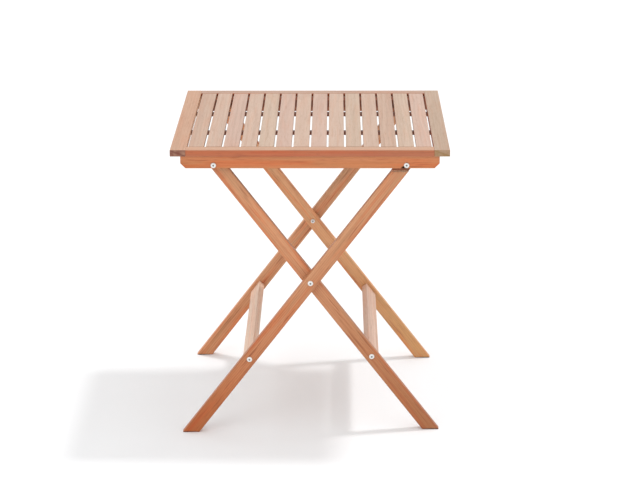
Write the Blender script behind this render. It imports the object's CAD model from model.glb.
"""Looks of a folding slatted wooden table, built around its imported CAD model.

Every wooden board is rebuilt with eased edges and takes the place of its CAD node. The metal
and the dowels stay as the CAD made them. Lengths are in metres.
"""

import math

import bmesh
import bpy
from mathutils import Matrix, Vector


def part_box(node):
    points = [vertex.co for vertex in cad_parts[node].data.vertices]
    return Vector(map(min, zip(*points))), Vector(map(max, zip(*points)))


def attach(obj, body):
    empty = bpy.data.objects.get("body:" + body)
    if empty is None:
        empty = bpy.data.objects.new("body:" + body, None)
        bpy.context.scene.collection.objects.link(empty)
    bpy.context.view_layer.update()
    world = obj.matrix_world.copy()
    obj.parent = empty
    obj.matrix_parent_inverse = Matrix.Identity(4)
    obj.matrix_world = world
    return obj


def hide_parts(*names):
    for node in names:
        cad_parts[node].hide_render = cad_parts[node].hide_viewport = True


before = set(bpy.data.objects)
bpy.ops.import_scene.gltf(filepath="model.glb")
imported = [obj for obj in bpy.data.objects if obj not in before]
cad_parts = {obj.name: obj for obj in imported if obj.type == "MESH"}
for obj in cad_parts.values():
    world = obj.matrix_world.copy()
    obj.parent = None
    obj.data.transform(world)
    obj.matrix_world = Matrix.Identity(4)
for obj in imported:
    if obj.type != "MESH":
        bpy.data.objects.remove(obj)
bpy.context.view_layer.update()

MM = 0.001

# Sizes that only the looks need
EASE_BOARD = 1.2 * MM  # rounding of the top's edges
EASE_LEG = 2.0 * MM  # rounding of the legs' edges
EASE_APRON = 1.5 * MM
EASE_FINE = 0.6 * MM  # rounding of sawn ends and notches
EASE_STEPS = 3
END_SHARE = 0.8  # sawn ends are rounded a little less than the edges beside them
SHARP_ANGLE = math.radians(50)
SCREW_PROUD = 0.2 * MM  # how far flush screw heads stand out of the wood
NOTCH_FLARE = 13 * MM  # how far a notch's mouth reaches to the left of its bolt
NOTCH_PLAY = 0.1 * MM  # clearance of a notch round its bolt
NOTCH_TURNS = (135, 112.5, 90, 67.5, 45, 0)  # degrees along the notch's round seat
COUNTERBORE_RADIUS = 4 * MM
COUNTERBORE_SIDES = 32
CUT_OVERSHOOT = 2 * MM
SCREW_SPACING = 20 * MM  # no two apron screws stand closer, and no screw is wider
HEAD_DEPTH = 10 * MM  # more than the height of any bolt head
SOCKET_RADIUS = 2.2 * MM
SLAT_END_GAP = 2.0 * MM  # room for the slats to swell, at each rail
SLAT_UNEVENNESS = 0.15 * MM  # how far the slats' faces lie below their CAD faces, on average
LEG_TOP_STEPS = 16
TOUCH = 0.01 * MM  # points closer than this lie in one plane

# ---- Camera ----

CAMERA_PLACE = (0.0629, -5.1677, 1.9497)
CAMERA_PITCH = math.radians(16.893)  # below the horizon
CAMERA_YAW = math.radians(-0.606)
CAMERA_ROLL = math.radians(-0.160)
CAMERA_LENS = 121.41
SENSOR_WIDTH = 36


def make_camera():
    """A long lens in front of the table, a little to its right, looking slightly down."""
    ahead = Vector((
        math.sin(CAMERA_YAW) * math.cos(CAMERA_PITCH),
        math.cos(CAMERA_YAW) * math.cos(CAMERA_PITCH),
        -math.sin(CAMERA_PITCH),
    ))
    level = Vector((math.cos(CAMERA_YAW), -math.sin(CAMERA_YAW), 0))
    upright = level.cross(ahead)
    right = math.cos(CAMERA_ROLL) * level + math.sin(CAMERA_ROLL) * upright
    up = math.cos(CAMERA_ROLL) * upright - math.sin(CAMERA_ROLL) * level
    data = bpy.data.cameras.new("camera")
    data.sensor_fit = "HORIZONTAL"
    data.sensor_width = SENSOR_WIDTH
    data.lens = CAMERA_LENS
    data.clip_end = 100
    camera = bpy.data.objects.new("camera", data)
    turn = Matrix((right, up, -ahead)).transposed().to_4x4()
    camera.matrix_world = Matrix.Translation(CAMERA_PLACE) @ turn
    bpy.context.scene.collection.objects.link(camera)
    bpy.context.scene.camera = camera


# ---- Node materials ----


class Graph:
    """A material's node tree, with short calls for the nodes that the finishes use."""

    def __init__(self, name):
        self.material = bpy.data.materials.new(name)
        self.material.use_nodes = True
        self.tree = self.material.node_tree
        self.shader = self.tree.nodes["Principled BSDF"]

    def node(self, kind, **settings):
        made = self.tree.nodes.new(kind)
        for key, value in settings.items():
            setattr(made, key, value)
        return made

    def feed(self, socket, value):
        """Links value into socket if it is another node's output, and sets it otherwise."""
        if isinstance(value, bpy.types.NodeSocket):
            self.tree.links.new(value, socket)
        else:
            socket.default_value = value

    def math(self, operation, *values, clamp=False):
        made = self.node("ShaderNodeMath", operation=operation, use_clamp=clamp)
        for socket, value in zip(made.inputs, values):
            self.feed(socket, value)
        return made.outputs[0]

    def vector(self, operation, *values):
        made = self.node("ShaderNodeVectorMath", operation=operation)
        for socket, value in zip(made.inputs, values):
            self.feed(socket, value)
        return made.outputs["Value" if operation == "DOT_PRODUCT" else "Vector"]

    def join(self, x, y, z):
        made = self.node("ShaderNodeCombineXYZ")
        for socket, value in zip(made.inputs, (x, y, z)):
            self.feed(socket, value)
        return made.outputs[0]

    def noise(self, vector, scale, detail=3.0, roughness=0.55, distortion=0.0):
        made = self.node("ShaderNodeTexNoise")
        self.feed(made.inputs["Vector"], vector)
        made.inputs["Scale"].default_value = scale
        made.inputs["Detail"].default_value = detail
        made.inputs["Roughness"].default_value = roughness
        made.inputs["Distortion"].default_value = distortion
        return made.outputs["Fac"]

    def between(self, value, low, high, to_low=0.0, to_high=1.0):
        """Maps value from low..high to to_low..to_high with soft ends."""
        made = self.node("ShaderNodeMapRange", interpolation_type="SMOOTHSTEP")
        for socket, number in zip(made.inputs, (value, low, high, to_low, to_high)):
            self.feed(socket, number)
        return made.outputs[0]

    def mix(self, factor, first, second, blend="MIX"):
        made = self.node("ShaderNodeMix", data_type="RGBA", blend_type=blend)
        colours = [s for s in made.inputs if s.type == "RGBA"]
        self.feed(made.inputs[0], factor)
        self.feed(colours[0], first)
        self.feed(colours[1], second)
        return next(s for s in made.outputs if s.type == "RGBA")

    def bump(self, height, strength, distance):
        made = self.node("ShaderNodeBump")
        made.inputs["Strength"].default_value = strength
        made.inputs["Distance"].default_value = distance
        self.feed(made.inputs["Height"], height)
        self.feed(self.shader.inputs["Normal"], made.outputs[0])


def rgb(hex_colour):
    """The linear colour of an sRGB one written as rrggbb."""
    channels = [int(hex_colour[i:i + 2], 16) / 255 for i in (0, 2, 4)]
    return [c / 12.92 if c <= 0.04045 else ((c + 0.055) / 1.055) ** 2.4 for c in channels] + [1]


# Colours of the wood: light growth, dark growth and the pores
SLAT_PINK = ("c1a392", "aa8978", "7d5a48")
SLAT_PALE = ("c0a592", "ac8c78", "805f4c")
SLAT_SAND = ("bea591", "a88c76", "7a5f49")
SLAT_TAN = ("bc9e88", "a58471", "785743")
SLAT_FLANK = ("8f6149", "744733", "4c2c20")
FRONT_RAIL_TOP = ("be967b", "aa8367", "7b5640")
BACK_RAIL_TOP = ("b5937f", "a07c68", "765340")
LEFT_TOP = ("bf967a", "ab8166", "7c553f")
RIGHT_TOP = ("b59b86", "a1866f", "765b46")
RED_FLANK = ("b46038", "934627", "65301c")
LEFT_FLANK = ("e0b795", "c99a78", "99694d")
LEFT_END = ("8a4a36", "70372a", "4a241c")
RIGHT_END = ("b98f5c", "9a743f", "6b5030")
UNDERSIDE = ("7e4a34", "653626", "422219")
APRON_HIGH = ("d88f62", "be7444", "864a2a")
APRON_LOW = ("c27847", "a55d2c", "723c1e")
OUTER_FRONT = ("cf9a73", "b1744d", "7d4a2e")
OUTER_FRONT_FOOT = ("b86a38", "994e25", "65321a")
OUTER_BACK = ("daa981", "c0855e", "80503a")
OUTER_BACK_FOOT = ("d3946a", "b57349", "774529")
INNER_FRONT = ("c98f67", "a96b45", "78462c")
INNER_FRONT_FOOT = ("a5663a", "874c27", "5e3318")
INNER_BACK = ("dfa679", "c48458", "8a5638")
INNER_BACK_FOOT = ("c9965f", "b07c52", "7d5334")
SHOULDER = ("fbe8cf", "f2d6b4", "b98d69")
TONGUE = ("a56e4c", "8a5436", "5f3723")
LEFT_STRETCHER = ("e3c5ae", "c49c81", "8b5f46")
RIGHT_STRETCHER = ("d7b6a1", "b68d75", "855b43")
BEECH = ("dcc39b", "c2a273", "94754c")

RING_CENTRE = (0.031, 0.062)  # where the tree's heart lies beside a board
SEED_STEP = Vector((1.73, 0.37, 0.53))
BLUSH_TINT = (1.05, 0.80, 0.66, 1)
ASHEN_TINT = (0.88, 0.95, 0.96, 1)
VEIN_TINT = (0.66, 0.50, 0.42, 1)

UP, DOWN, FRONT = (0, 0, 1), (0, 0, -1), (0, -1, 0)


class Zone:
    """A part of a board with its own colours.

    The object-space normal ("Normal") or place ("Object") is measured toward a direction. The
    zone starts where that measure is at start, and is full from stop on.
    """

    def __init__(self, colours, measure, toward, start, stop):
        self.colours = colours
        self.measure = measure
        self.toward = toward
        self.start = start
        self.stop = stop


def flanks(colours):
    """All faces that don't look up."""
    return Zone(colours, "Normal", DOWN, -0.75, -0.45)


def underside(colours):
    return Zone(colours, "Normal", DOWN, 0.45, 0.75)


def facing(colours, toward):
    return Zone(colours, "Normal", toward, 0.45, 0.75)


def lower_part(colours, top, bottom):
    return Zone(colours, "Object", DOWN, -top, -bottom)


def wood(name, colours, grain, across, seed, gloss=0.52, figure=0.4, zones=()):
    """Oiled hardwood whose fibres run along grain.

    figure is how lively its markings are, from 0 up to about 1.3. Each zone replaces the colours
    of a part of the board.
    """
    g = Graph(name)
    grain, across = Vector(grain).normalized(), Vector(across).normalized()
    coords = g.node("ShaderNodeTexCoord")
    place = g.vector("ADD", coords.outputs["Object"], SEED_STEP * seed)
    along = g.vector("DOT_PRODUCT", place, grain)
    side = g.vector("DOT_PRODUCT", place, across)
    deep = g.vector("DOT_PRODUCT", place, grain.cross(across))

    def stretched(u, v, w):
        scaled = (g.math("MULTIPLY", value, by) for value, by in ((along, u), (side, v), (deep, w)))
        return g.join(*scaled)

    # Growth rings: cylinders round a heart outside the board, bent by slow noise
    wander = g.noise(stretched(1.6, 6, 6), 1.0, detail=2.0)
    ring_v = g.vector("DOT_PRODUCT", coords.outputs["Object"], across)
    ring_v = g.math("ADD", ring_v, RING_CENTRE[0] * math.sin(seed * 2.1))
    ring_w = g.vector("DOT_PRODUCT", coords.outputs["Object"], grain.cross(across))
    ring_w = g.math("ADD", ring_w, RING_CENTRE[1])
    radius = g.math("SQRT", g.math("ADD", g.math("POWER", ring_v, 2.0), g.math("POWER", ring_w, 2.0)))
    phase = g.math("MULTIPLY_ADD", wander, 3.0, g.math("MULTIPLY", radius, 300.0))
    rings = g.between(g.math("FRACT", phase), 0.35, 1.0)

    fibre = g.noise(stretched(9, 420, 420), 1.0, detail=4.0, roughness=0.65)
    streak = g.noise(stretched(1.1, 60, 60), 1.0, detail=3.0)
    patch = g.noise(stretched(1.0, 9, 9), 1.0, detail=2.0)
    dashes = g.noise(stretched(45, 1500, 1500), 1.0, detail=1.0)
    pores = g.between(dashes, 0.62, 0.74)

    tone = g.math("MULTIPLY_ADD", rings, 0.14, g.math("MULTIPLY", fibre, 0.34))
    tone = g.math("MULTIPLY_ADD", streak, 0.62, tone)
    tone = g.math("MULTIPLY_ADD", patch, 0.34, tone)
    tone = g.between(tone, 0.32 + 0.14 * figure, 1.10 - 0.12 * figure)
    blush = g.between(g.noise(stretched(5, 75, 75), 1.0, detail=3.0), 0.46, 0.66)
    ashen = g.between(g.noise(stretched(4, 48, 48), 1.7, detail=2.0), 0.50, 0.70)
    veins = g.between(g.noise(stretched(11, 210, 210), 1.0, detail=2.0), 0.56, 0.72)

    def shade(palette):
        light, dark, pore = (rgb(c) for c in palette)
        return g.mix(g.math("MULTIPLY", pores, 0.45), g.mix(tone, light, dark), pore)

    colour = shade(colours)
    for zone in zones:
        value = g.vector("DOT_PRODUCT", coords.outputs[zone.measure], zone.toward)
        colour = g.mix(g.between(value, zone.start, zone.stop), colour, shade(zone.colours))

    # Reddish and greyish streaks, and thin dark veins
    colour = g.mix(g.math("MULTIPLY", blush, 0.9 * figure), colour, BLUSH_TINT, "MULTIPLY")
    colour = g.mix(g.math("MULTIPLY", ashen, 0.7 * figure), colour, ASHEN_TINT, "MULTIPLY")
    colour = g.mix(g.math("MULTIPLY", veins, 0.8 * figure), colour, VEIN_TINT, "MULTIPLY")

    # Sawn ends drink more oil than the sides
    end = g.math("ABSOLUTE", g.vector("DOT_PRODUCT", coords.outputs["Normal"], grain))
    end = g.math("MULTIPLY", g.between(end, 0.55, 0.9), 0.3)
    colour = g.mix(end, colour, (0, 0, 0, 1))

    # Rubbed edges, from how sharply the surface bends
    bend = g.node("ShaderNodeNewGeometry").outputs["Pointiness"]
    worn = g.math("MULTIPLY", g.between(bend, 0.51, 0.6), g.between(streak, 0.35, 0.7, 0.1, 0.5))
    colour = g.mix(worn, colour, rgb(colours[0]))
    g.feed(g.shader.inputs["Base Color"], colour)

    dull = g.math("MULTIPLY_ADD", fibre, 0.16, gloss - 0.08)
    g.feed(g.shader.inputs["Roughness"], g.math("MULTIPLY_ADD", pores, 0.15, dull, clamp=True))
    relief = g.math("MULTIPLY_ADD", pores, -0.8, fibre)
    g.bump(g.math("MULTIPLY_ADD", rings, 0.3, relief), 0.35, 0.25 * MM)
    g.shader.inputs["Specular IOR Level"].default_value = 0.4
    return g.material


def zinc(name, colour, roughness, socket=None):
    """Zinc-plated steel with fine scratches and cloudy patches.

    socket is the (x, z) of a dark drive recess.
    """
    g = Graph(name)
    place = g.node("ShaderNodeTexCoord").outputs["Object"]
    cloud = g.noise(place, 260, detail=3.0)
    scratch = g.noise(g.vector("MULTIPLY", place, (900, 160, 2600)), 1.0, detail=2.0)
    shade = g.mix(g.math("MULTIPLY", cloud, 0.3), rgb(colour), rgb("8e8d8a"))
    if socket:
        offset = g.vector("MULTIPLY", g.vector("SUBTRACT", place, (socket[0], 0, socket[1])), (1, 0, 1))
        reach = g.math("SQRT", g.vector("DOT_PRODUCT", offset, offset))
        inside = g.between(reach, SOCKET_RADIUS, SOCKET_RADIUS + 0.4 * MM, 0.85, 0.0)
        shade = g.mix(inside, shade, rgb("7d7b77"))
    g.feed(g.shader.inputs["Base Color"], shade)
    g.feed(g.shader.inputs["Roughness"], g.math("MULTIPLY_ADD", cloud, 0.18, roughness))
    g.bump(scratch, 0.15, 0.04 * MM)
    g.shader.inputs["Metallic"].default_value = 0.8
    return g.material


# ---- Rounded solids ----


def rounded(corners, steps=EASE_STEPS):
    """Outline through (u, v, radius) corners, anticlockwise, with each corner turned into an arc."""
    outline = []
    for i, (u, v, radius) in enumerate(corners):
        here = Vector((u, v))
        before = (Vector(corners[i - 1][:2]) - here).normalized()
        after = (Vector(corners[(i + 1) % len(corners)][:2]) - here).normalized()
        half = before.angle(after) / 2
        nearly_straight = half > math.pi / 2 - 0.02
        if radius <= 0 or nearly_straight:
            outline.append(here)
            continue
        reach = radius / math.tan(half)
        start, stop = here + before * reach, here + after * reach
        centre = here + (before + after).normalized() * (radius / math.sin(half))
        sweep = (start - centre).angle_signed(stop - centre)
        for k in range(steps + 1):
            outline.append(centre + Matrix.Rotation(-sweep * k / steps, 2) @ (start - centre))
    return outline


def inset(outline, distance):
    """The outline moved inwards by distance, with mitred corners."""
    moved = []
    for i, here in enumerate(outline):
        before = (here - outline[i - 1]).normalized()
        after = (outline[(i + 1) % len(outline)] - here).normalized()
        first, second = Vector((-before.y, before.x)), Vector((-after.y, after.x))
        moved.append(here + (first + second) * (distance / (1 + first.dot(second))))
    return moved


def add_mesh(name, mesh_data):
    piece = bpy.data.objects.new(name, mesh_data)
    bpy.context.scene.collection.objects.link(piece)
    return piece


def solid(name, outline, near, far, place, ease):
    """A bar with the given outline from depth near to depth far, whose end edges are rounded by ease."""
    rings = []
    for k in range(EASE_STEPS + 1):
        turn = math.pi / 2 * k / EASE_STEPS
        rings.append((ease * (1 - math.sin(turn)), near + ease * (1 - math.cos(turn))))
    rings += [(shrink, near + far - depth) for shrink, depth in reversed(rings)]
    built = bmesh.new()
    loops = []
    for shrink, depth in rings:
        loops.append([built.verts.new(place(p.x, p.y, depth)) for p in inset(outline, shrink)])
    count = len(outline)
    for low, high in zip(loops, loops[1:]):
        for i in range(count):
            j = (i + 1) % count
            built.faces.new((low[i], low[j], high[j], high[i]))
    built.faces.new(loops[0])
    built.faces.new(loops[-1])
    bmesh.ops.recalc_face_normals(built, faces=built.faces)
    mesh = bpy.data.meshes.new(name)
    built.to_mesh(mesh)
    built.free()
    return add_mesh(name, mesh)


def cut(piece, cutters):
    """Takes the cutters away from piece and removes them."""
    for cutter in cutters:
        modifier = piece.modifiers.new("cut", "BOOLEAN")
        modifier.operation = "DIFFERENCE"
        modifier.solver = "EXACT"
        modifier.object = cutter
    depsgraph = bpy.context.evaluated_depsgraph_get()
    mesh = bpy.data.meshes.new_from_object(piece.evaluated_get(depsgraph))
    piece.modifiers.clear()
    piece.data = mesh
    for cutter in cutters:
        bpy.data.objects.remove(cutter)


def finish_piece(piece, node, body, material):
    """Smooths the eased edges, gives the piece its material and puts it in its CAD node's place."""
    mesh = piece.data
    mesh.polygons.foreach_set("use_smooth", [True] * len(mesh.polygons))
    mesh.set_sharp_from_angle(angle=SHARP_ANGLE)
    weighted = piece.modifiers.new("flat faces", "WEIGHTED_NORMAL")
    weighted.keep_sharp = True
    mesh.materials.clear()
    mesh.materials.append(material)
    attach(piece, body)
    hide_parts(node)


def along_x(u, v, depth):
    return Vector((depth, u, v))


def along_y(u, v, depth):
    return Vector((u, depth, v))


def along_z(u, v, depth):
    return Vector((u, v, depth))


def rectangle(low_u, low_v, high_u, high_v, radius):
    corners = ((low_u, low_v), (high_u, low_v), (high_u, high_v), (low_u, high_v))
    return [(u, v, radius) for u, v in corners]


def block(name, low, high):
    """A sharp box, for cutting."""
    outline = [Vector(p[:2]) for p in rectangle(low.x, low.y, high.x, high.y, 0)]
    return solid(name, outline, low.z, high.z, along_z, 0)


# ---- Boards of the top ----


def lengthwise_board(node, name, ease, bottom_gap):
    """A board that runs front to back, filling its CAD node's box."""
    low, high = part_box(node)
    outline = rounded(rectangle(low.x, low.z + bottom_gap, high.x, high.z, ease))
    return solid(name, outline, low.y, high.y, along_y, ease * END_SHARE)


# Tone of each slat from the left
SLAT_TONES = [
    SLAT_TAN, SLAT_PALE, SLAT_PINK, SLAT_PALE, SLAT_SAND, SLAT_PINK, SLAT_PALE,
    SLAT_PINK, SLAT_PALE, SLAT_SAND, SLAT_PALE, SLAT_TAN, SLAT_SAND, SLAT_PINK,
]


def make_slats():
    for i, tone in enumerate(SLAT_TONES, start=1):
        node = f"slat_{i:02d}"
        low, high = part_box(node)
        sunk = SLAT_UNEVENNESS * (1 + math.sin(i * 2.4))
        outline = rounded(rectangle(low.x, low.z + sunk, high.x, high.z - sunk, EASE_BOARD))
        near, far = low.y + SLAT_END_GAP, high.y - SLAT_END_GAP
        piece = solid(node + "_board", outline, near, far, along_y, EASE_BOARD * END_SHARE)
        zones = (flanks(SLAT_FLANK), underside(UNDERSIDE))
        material = wood(node + "_wood", tone, (0, 1, 0), (1, 0, 0), i, zones=zones)
        finish_piece(piece, node, "table_top", material)


def make_end_boards():
    """The battens' ends lie in housings cut into the undersides of the end boards."""
    boards = (
        ("left", LEFT_TOP, LEFT_END, LEFT_FLANK, (1, 0, 0), 21),
        ("right", RIGHT_TOP, RIGHT_END, RED_FLANK, (-1, 0, 0), 22),
    )
    for side, tone, end, inner, inwards, seed in boards:
        node = "end_board_" + side
        piece = lengthwise_board(node, node + "_board", EASE_BOARD, SCREW_PROUD)
        housings = []
        for batten in ("batten_front", "batten_rear"):
            low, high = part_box(batten)
            low.z -= CUT_OVERSHOOT
            housings.append(block("housing", low, high))
        cut(piece, housings)
        zones = (flanks(RED_FLANK), facing(inner, inwards), underside(UNDERSIDE), facing(end, FRONT))
        material = wood(node + "_wood", tone, (0, 1, 0), (1, 0, 0), seed, zones=zones)
        finish_piece(piece, node, "table_top", material)


def make_rails():
    """The rails have a ledge under the slat ends, so their section is an L."""
    slat_low, slat_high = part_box("slat_01")
    rails = (
        ("front_rail", 1, slat_low.y, FRONT_RAIL_TOP, 31),
        ("back_rail", -1, slat_high.y, BACK_RAIL_TOP, 32),
    )
    for node, inwards, inner, tone, seed in rails:
        low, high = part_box(node)
        outside, ledge = (low.y, high.y) if inwards > 0 else (high.y, low.y)
        corners = [
            (outside, low.z + SCREW_PROUD, EASE_BOARD), (ledge, low.z + SCREW_PROUD, EASE_FINE),
            (ledge, slat_low.z, EASE_FINE), (inner, slat_low.z, 0),
            (inner, high.z, EASE_BOARD), (outside, high.z, EASE_BOARD),
        ]
        outline = rounded(corners if inwards > 0 else corners[::-1])
        piece = solid(node + "_board", outline, low.x, high.x, along_x, EASE_FINE)
        zones = (flanks(RED_FLANK), underside(UNDERSIDE))
        material = wood(node + "_wood", tone, (1, 0, 0), (0, 1, 0), seed, figure=0.8, zones=zones)
        finish_piece(piece, node, "table_top", material)


def make_battens():
    for node, seed in (("batten_front", 41), ("batten_rear", 42)):
        low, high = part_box(node)
        outline = rounded(rectangle(low.y, low.z + SCREW_PROUD, high.y, high.z, EASE_FINE))
        piece = solid(node + "_board", outline, low.x, high.x, along_x, EASE_FINE * END_SHARE)
        material = wood(node + "_wood", UNDERSIDE, (1, 0, 0), (0, 1, 0), seed)
        finish_piece(piece, node, "table_top", material)


def bolt_centre(node):
    """Middle of a pair of bolts, one at the front and one at the back."""
    low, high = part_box(node)
    return (low + high) / 2


def end_chamfer(node):
    """Size of the chamfer on an apron's lower corners."""
    low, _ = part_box(node)
    at_end = [v.co.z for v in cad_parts[node].data.vertices if abs(v.co.x - low.x) < TOUCH]
    return min(at_end) - low.z


def shank_radius(node):
    """Radius of the shanks of a pair of bolts, from the points of their tips."""
    low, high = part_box(node)
    middle = (low + high) / 2
    inner = [v.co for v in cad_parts[node].data.vertices if abs(v.co.y) < high.y - HEAD_DEPTH]
    return max((Vector((p.x, p.z)) - Vector((middle.x, middle.z))).length for p in inner)


def circle(radius, sides):
    turns = (2 * math.pi * k / sides for k in range(sides))
    return [Vector((radius * math.cos(turn), radius * math.sin(turn))) for turn in turns]


def cluster_middles(values):
    """Middle of each group of values, where the groups lie more than SCREW_SPACING apart."""
    groups = []
    for value in sorted(values):
        if groups and value - groups[-1][-1] < SCREW_SPACING:
            groups[-1].append(value)
        else:
            groups.append([value])
    return [(group[0] + group[-1]) / 2 for group in groups]


def make_aprons():
    """Boards with chamfered lower corners, a notch for the hook bolt and three counterbores."""
    hook = bolt_centre("hook_bolts")
    seat = shank_radius("hook_bolts") + NOTCH_PLAY
    screws_low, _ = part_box("apron_screws")
    screw_xs = cluster_middles([v.co.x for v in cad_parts["apron_screws"].data.vertices])
    for node, seed in (("apron_front", 51), ("apron_back", 52)):
        low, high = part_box(node)
        chamfer = end_chamfer(node)
        ease = EASE_APRON
        left = [(low.x, high.z, ease), (low.x, low.z + chamfer, ease), (low.x + chamfer, low.z, ease)]
        notch = [(hook.x - NOTCH_FLARE, low.z, EASE_FINE)]
        for turn in NOTCH_TURNS:
            on_seat = (math.cos(math.radians(turn)), math.sin(math.radians(turn)))
            notch.append((hook.x + seat * on_seat[0], hook.z + seat * on_seat[1], 0))
        notch.append((hook.x + seat, low.z, EASE_FINE))
        right = [(high.x - chamfer, low.z, ease), (high.x, low.z + chamfer, ease), (high.x, high.z, ease)]
        outline = rounded(left + notch + right)
        piece = solid(node + "_board", outline, low.y, high.y, along_y, EASE_FINE)
        middle = (low.y + high.y) / 2
        ring = circle(COUNTERBORE_RADIUS, COUNTERBORE_SIDES)
        bores = []
        for x in screw_xs:
            outline = [Vector((x, middle)) + p for p in ring]
            bores.append(solid("bore", outline, low.z - CUT_OVERSHOOT, screws_low.z, along_z, 0))
        cut(piece, bores)
        inner = (0, 1, 0) if low.y < 0 else FRONT
        darker = lower_part(APRON_LOW, high.z - 6 * MM, low.z + 4 * MM)
        zones = (darker, facing(UNDERSIDE, inner))
        looks = {"gloss": 0.48, "figure": 1.1, "zones": zones}
        material = wood(node + "_wood", APRON_HIGH, (1, 0, 0), (0, 0, 1), seed, **looks)
        finish_piece(piece, node, "table_top", material)


# ---- Legs and stretchers ----


def leg_shape(node, pin_node):
    """Crossing, pin, direction up the leg, direction across it and half width, in the XZ plane."""
    crossing, pin = bolt_centre("crossing_bolts"), bolt_centre(pin_node)
    _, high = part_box(node)
    start, stop = Vector((crossing.x, crossing.z)), Vector((pin.x, pin.z))
    up = (stop - start).normalized()
    return start, stop, up, Vector((up.y, -up.x)), high.z - pin.z


def leg_outline(node, pin_node):
    """Outline of a leg seen from the front: flat on the floor and round about its pin."""
    start, stop, up, across, half = leg_shape(node, pin_node)

    def on_floor(side):
        edge = start + across * (half * side)
        return edge - up * (edge.y / up.y)

    left, right = on_floor(-1), on_floor(1)
    if left.x > right.x:
        left, right = right, left
    corners = [(left.x, left.y, EASE_FINE), (right.x, right.y, EASE_FINE)]
    for k in range(LEG_TOP_STEPS + 1):
        turn = math.pi * k / LEG_TOP_STEPS
        p = stop + across * (half * math.cos(turn)) + up * (half * math.sin(turn))
        corners.append((p.x, p.y, 0))
    return rounded(corners)


def rebate_shape(node):
    """Depths of an outer leg's face and tongue, and heights of its slope's foot and top."""
    points = [v.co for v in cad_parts[node].data.vertices]
    low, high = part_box(node)
    face = low.y if low.y < -high.y else high.y
    shoulder = max(p.z for p in points if abs(p.y - face) < TOUCH)
    behind = [p for p in points if p.z > shoulder - TOUCH and abs(p.y - face) > TOUCH]
    tongue = min((abs(p.y - face), p.y) for p in behind)[1]
    top = min(p.z for p in points if abs(p.y - tongue) < TOUCH and p.z > shoulder)
    return face, tongue, shoulder, top


def rebate_cutter(node):
    """The space in front of an outer leg's tongue, above its sloping shoulder."""
    low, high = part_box(node)
    face, tongue, shoulder, top = rebate_shape(node)
    outside = 2 * face - tongue
    above = high.z + CUT_OVERSHOOT
    corners = [(tongue, top), (outside, 2 * shoulder - top), (outside, above), (tongue, above)]
    outline = [Vector(c) for c in corners]
    return solid("rebate", outline, low.x - CUT_OVERSHOOT, high.x + CUT_OVERSHOOT, along_x, 0)


FOOT_SPAN = (0.46, 0.0)  # height where the legs start to deepen, and where they are deepest


def make_legs():
    """Bars that grow deeper in colour towards the feet. The outer ones are rebated at the top."""
    legs = (
        ("outer_leg_front", "outer_frame", "hook_bolts", OUTER_FRONT, OUTER_FRONT_FOOT, 61),
        ("outer_leg_back", "outer_frame", "hook_bolts", OUTER_BACK, OUTER_BACK_FOOT, 62),
        ("inner_leg_front", "inner_frame", "pivot_bolts", INNER_FRONT, INNER_FRONT_FOOT, 71),
        ("inner_leg_back", "inner_frame", "pivot_bolts", INNER_BACK, INNER_BACK_FOOT, 72),
    )
    for node, body, pin_node, tone, foot, seed in legs:
        low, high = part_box(node)
        piece = solid(node + "_bar", leg_outline(node, pin_node), low.y, high.y, along_y, EASE_LEG)
        zones = [lower_part(foot, *FOOT_SPAN)]
        if body == "outer_frame":
            cut(piece, [rebate_cutter(node)])
            top = rebate_shape(node)[3]
            zones.append(Zone(TONGUE, "Object", UP, top - 0.5 * MM, top))
            zones.append(Zone(SHOULDER, "Normal", UP, 0.8, 0.9))
        _, _, up, across, _ = leg_shape(node, pin_node)
        grain, side = Vector((up.x, 0, up.y)), Vector((across.x, 0, across.y))
        material = wood(node + "_wood", tone, grain, side, seed, figure=1.25, zones=zones)
        finish_piece(piece, node, body, material)


def make_stretchers():
    """Flat bars between the legs of a pair, turned to lie along them."""
    pairs = (("outer", "hook_bolts", LEFT_STRETCHER, 81), ("inner", "pivot_bolts", RIGHT_STRETCHER, 82))
    for pair, pin_node, tone, seed in pairs:
        node = pair + "_stretcher"
        _, _, up, across, _ = leg_shape(pair + "_leg_front", pin_node)
        centre = bolt_centre(node + "_bolts")
        middle = Vector((centre.x, centre.z))
        low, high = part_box(node)
        points = [Vector((v.co.x, v.co.z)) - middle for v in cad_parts[node].data.vertices]
        half_up = max(abs(p.dot(up)) for p in points)
        half_across = max(abs(p.dot(across)) for p in points)
        under = 1 if across.y < 0 else -1
        spans = sorted((-half_across * under, (half_across - SCREW_PROUD) * under))
        flat = rounded(rectangle(spans[0], -half_up, spans[1], half_up, EASE_BOARD))
        outline = [middle + across * p.x + up * p.y for p in flat]
        piece = solid(node + "_bar", outline, low.y, high.y, along_y, EASE_FINE)
        material = wood(node + "_wood", tone, (0, 1, 0), Vector((up.x, 0, up.y)), seed, figure=0.6)
        finish_piece(piece, node, pair + "_frame", material)


# ---- Metal and dowels keep their CAD shape ----


PLATED_COLOUR = "f0f0ee"
PLATED_ROUGHNESS = 0.32


def dress_hardware():
    """The boards' CAD nodes are hidden by now, so what is left is metal and dowels."""
    plated = zinc("zinc_nuts", PLATED_COLOUR, PLATED_ROUGHNESS)
    dull = zinc("zinc_screws", "bdbcb8", 0.36)
    for name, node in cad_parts.items():
        if node.hide_render:
            continue
        if name == "corner_dowels":
            material = wood("dowel_wood", BEECH, (1, 0, 0), (0, 1, 0), 91)
        elif name.endswith("bolts"):
            centre = bolt_centre(name)
            socket = (centre.x, centre.z)
            material = zinc(name + "_zinc", PLATED_COLOUR, PLATED_ROUGHNESS, socket=socket)
        elif name.endswith(("nuts", "spacers", "washers")):
            material = plated
        else:
            material = dull
        node.data.materials.clear()
        node.data.materials.append(material)


# ---- Studio ----

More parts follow.
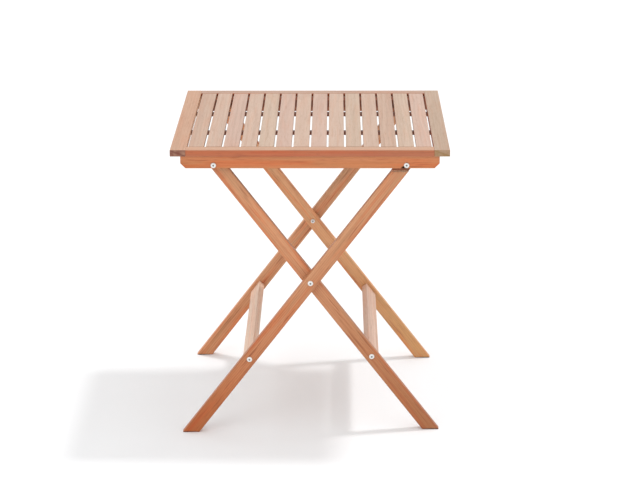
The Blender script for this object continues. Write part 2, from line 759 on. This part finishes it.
FLOOR_HALF = 9.0
KEY_FROM = (0.27, 0.17, 0.723)  # direction towards the key light
KEY_STRENGTH = 1.0
KEY_SPREAD = math.radians(7)
SOFTBOX_PLACE = (-2.2, -3.4, 2.6)
SOFTBOX_SIZE = 2.6
SOFTBOX_POWER = 26.0
SOFTBOX_TARGET = (0, 0, 0.35)
FLOOR_COLOUR = (0.842, 0.85, 0.858, 1)
WORLD_STRENGTH = 1.04


def area_light(name, place, size, power):
    data = bpy.data.lights.new(name, "AREA")
    data.shape = "DISK"
    data.size = size
    data.energy = power
    light = bpy.data.objects.new(name, data)
    light.location = place
    ahead = Vector(SOFTBOX_TARGET) - Vector(place)
    light.rotation_euler = ahead.to_track_quat("-Z", "Y").to_euler()
    bpy.context.scene.collection.objects.link(light)


def sun_light(name, toward, spread, strength):
    data = bpy.data.lights.new(name, "SUN")
    data.angle = spread
    data.energy = strength
    light = bpy.data.objects.new(name, data)
    light.rotation_euler = Vector(toward).to_track_quat("Z", "Y").to_euler()
    bpy.context.scene.collection.objects.link(light)


def make_studio():
    """A pale floor under an even white sky, with a soft key light and a large weak softbox."""
    mesh = bpy.data.meshes.new("floor")
    corners = ((-1, -1), (1, -1), (1, 1), (-1, 1))
    mesh.from_pydata([(FLOOR_HALF * x, FLOOR_HALF * y, 0) for x, y in corners], [], [(0, 1, 2, 3)])
    floor = add_mesh("floor", mesh)
    g = Graph("studio_floor")
    g.shader.inputs["Base Color"].default_value = FLOOR_COLOUR
    g.shader.inputs["Roughness"].default_value = 0.9
    g.shader.inputs["Specular IOR Level"].default_value = 0.1
    mesh.materials.append(g.material)
    world = bpy.data.worlds.new("studio")
    world.use_nodes = True
    background = world.node_tree.nodes["Background"]
    background.inputs["Color"].default_value = (1, 1, 1, 1)
    background.inputs["Strength"].default_value = WORLD_STRENGTH
    bpy.context.scene.world = world
    sun_light("key", KEY_FROM, KEY_SPREAD, KEY_STRENGTH)
    area_light("softbox", SOFTBOX_PLACE, SOFTBOX_SIZE, SOFTBOX_POWER)
    bpy.context.scene.view_settings.view_transform = "Standard"


make_camera()
make_slats()
make_end_boards()
make_rails()
make_battens()
make_aprons()
make_legs()
make_stretchers()
dress_hardware()
make_studio()
